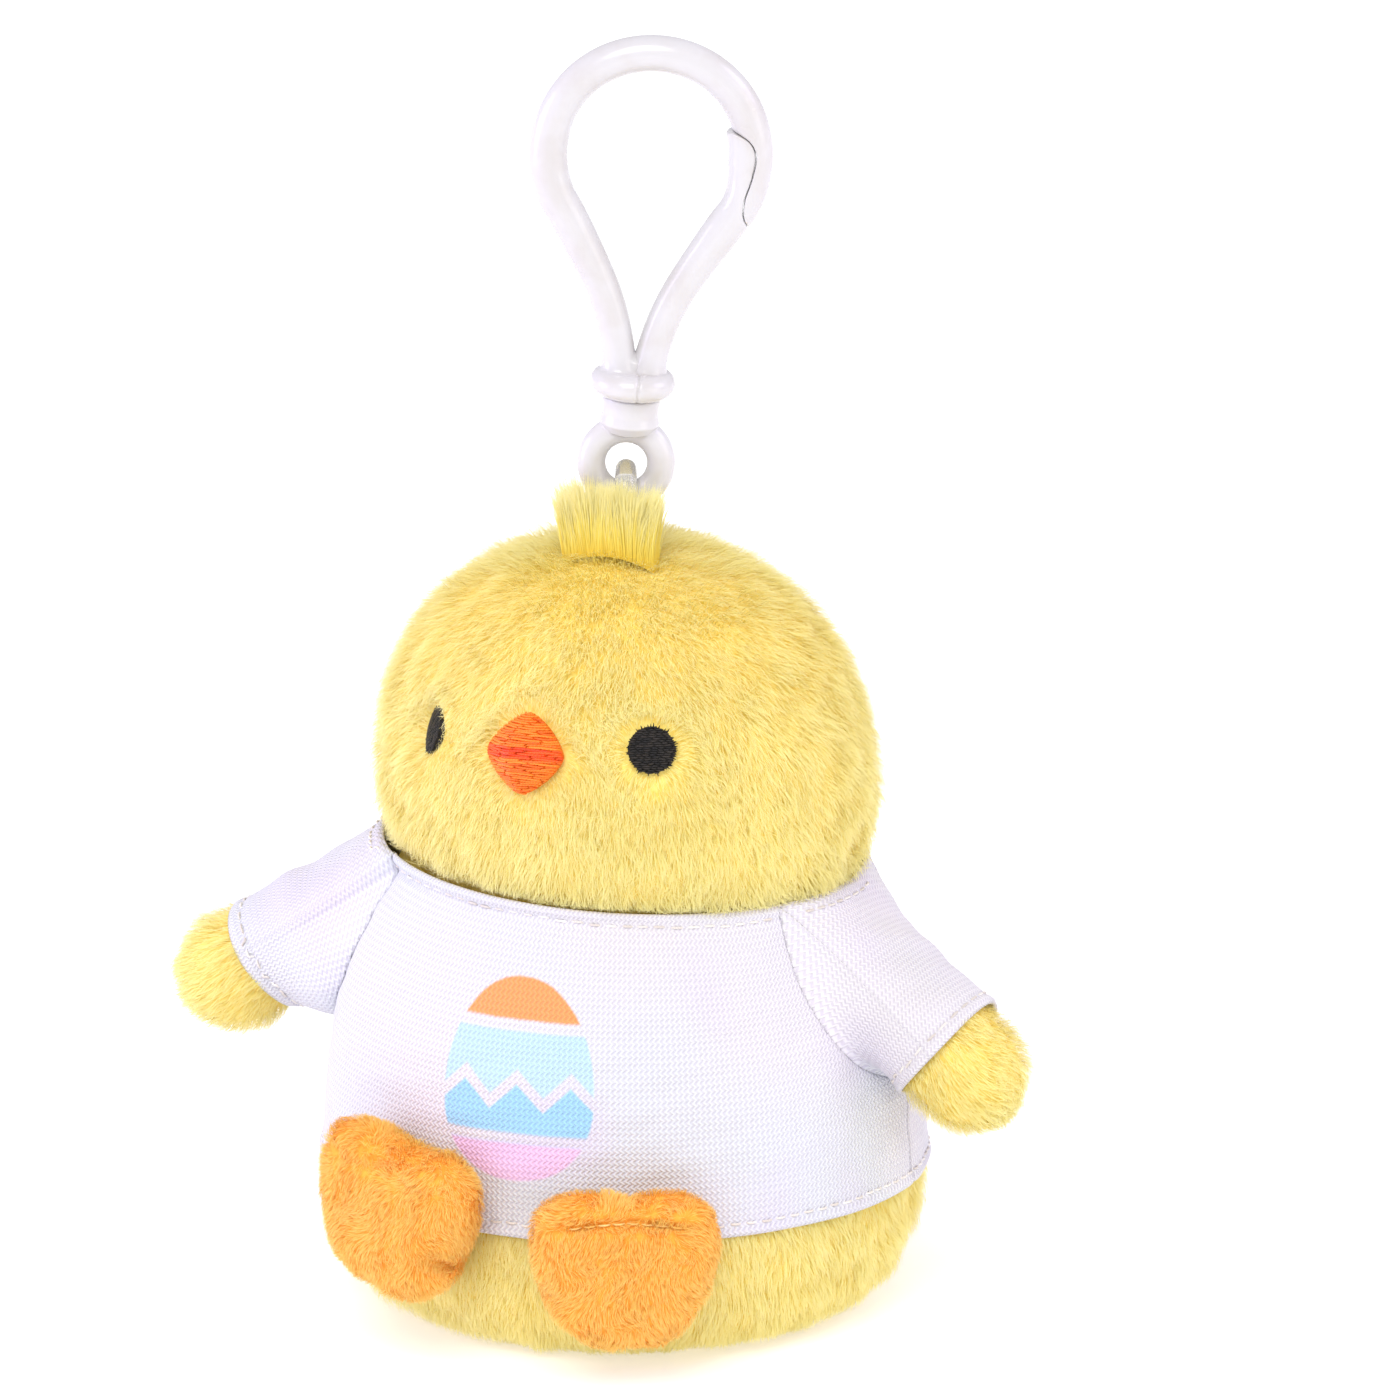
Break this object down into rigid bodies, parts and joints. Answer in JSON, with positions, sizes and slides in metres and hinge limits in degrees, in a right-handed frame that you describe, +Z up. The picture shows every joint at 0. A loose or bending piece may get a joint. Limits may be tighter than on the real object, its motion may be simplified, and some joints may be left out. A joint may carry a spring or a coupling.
{
  "type": "plush keychain",
  "caption": "Sitting plush chick in a T-shirt, hung by a clear loop from a plastic spring clip with a swivel eye, for a bag or keys.",
  "frame": {"origin": "centre of the flat seat panel under the body, on the surface the chick sits on", "axes": "+Z up, from the seat to the clip; the chick's body faces -Y, and its own left is +X"},
  "size_m": [0.1178, 0.0923, 0.1741],
  "materials": {
    "clip": "gloss",
    "tether": "clear gloss",
    "yellow_plush": "long soft pile",
    "tuft_plush": "long soft pile",
    "orange_plush": "short dense pile",
    "eye_thread": "satin embroidery",
    "beak_thread": "satin embroidery",
    "shirt_knit": "fine knit",
    "shirt_thread": "sewing thread",
    "filling": "polyester fibre"
  },
  "bodies": {
    "plush": {"tuft": "tuft_plush", "head_cover": "yellow_plush", "head_filling": "filling", "eye_left": "eye_thread", "eye_right": "eye_thread", "beak": "beak_thread", "body_cover": "yellow_plush", "body_filling": "filling", "base_panel": "yellow_plush", "shirt_front": "shirt_knit", "shirt_back": "shirt_knit", "neck_stitching": "shirt_thread", "hem_stitching": "shirt_thread"},
    "tether": {"tether_loop": "tether"},
    "eye": {"swivel_eye": "clip"},
    "hook": {"hook_body": "clip"},
    "gate": {"gate_arm": "clip"},
    "arm_left": {"arm_left_cover": "yellow_plush", "arm_left_filling": "filling", "sleeve_left": "shirt_knit", "cuff_stitching_left": "shirt_thread"},
    "arm_right": {"arm_right_cover": "yellow_plush", "arm_right_filling": "filling", "sleeve_right": "shirt_knit", "cuff_stitching_right": "shirt_thread"},
    "foot_left": {"foot_left_sole": "orange_plush", "foot_left_upper": "orange_plush", "foot_left_filling": "filling"},
    "foot_right": {"foot_right_sole": "orange_plush", "foot_right_upper": "orange_plush", "foot_right_filling": "filling"}
  },
  "joints": [
    {"name": "tether_tip", "type": "hinge", "parent": "plush", "child": "tether", "pos_m": [0, 0, 0.103], "axis": [-0.9397, -0.342, 0], "range_deg": [-8, 60]},
    {"name": "clip_swing", "type": "hinge", "parent": "tether", "child": "eye", "pos_m": [0, 0, 0.11485], "axis": [-0.342, 0.9397, 0], "range_deg": [-64, 55]},
    {"name": "clip_swivel", "type": "hinge", "parent": "eye", "child": "hook", "pos_m": [0.00085, 0.00031, 0.12636], "axis": [0.0737, 0.0268, 0.9969], "continuous": true},
    {"name": "gate_press", "type": "hinge", "parent": "hook", "child": "gate", "pos_m": [0.00388, 0.00141, 0.13255], "axis": [0.342, -0.9397, 0], "range_deg": [0, 14], "stiffness_Nm_per_rad": 0.12},
    {"name": "arm_left_lift", "type": "hinge", "parent": "plush", "child": "arm_left", "pos_m": [0.0345, -0.003, 0.052], "axis": [-0.1736, -0.9848, 0], "range_deg": [-8, 25], "stiffness_Nm_per_rad": 0.03},
    {"name": "arm_right_lift", "type": "hinge", "parent": "plush", "child": "arm_right", "pos_m": [-0.0345, -0.003, 0.052], "axis": [-0.1736, 0.9848, 0], "range_deg": [-8, 25], "stiffness_Nm_per_rad": 0.03},
    {"name": "foot_left_fold", "type": "hinge", "parent": "plush", "child": "foot_left", "pos_m": [0.01547, -0.03829, 0.0097], "axis": [0.9272, 0.3746, 0], "range_deg": [0, 35], "stiffness_Nm_per_rad": 0.02},
    {"name": "foot_right_fold", "type": "hinge", "parent": "plush", "child": "foot_right", "pos_m": [-0.01547, -0.03829, 0.0127], "axis": [0.9272, -0.3746, 0], "range_deg": [0, 35], "stiffness_Nm_per_rad": 0.02}
  ]
}
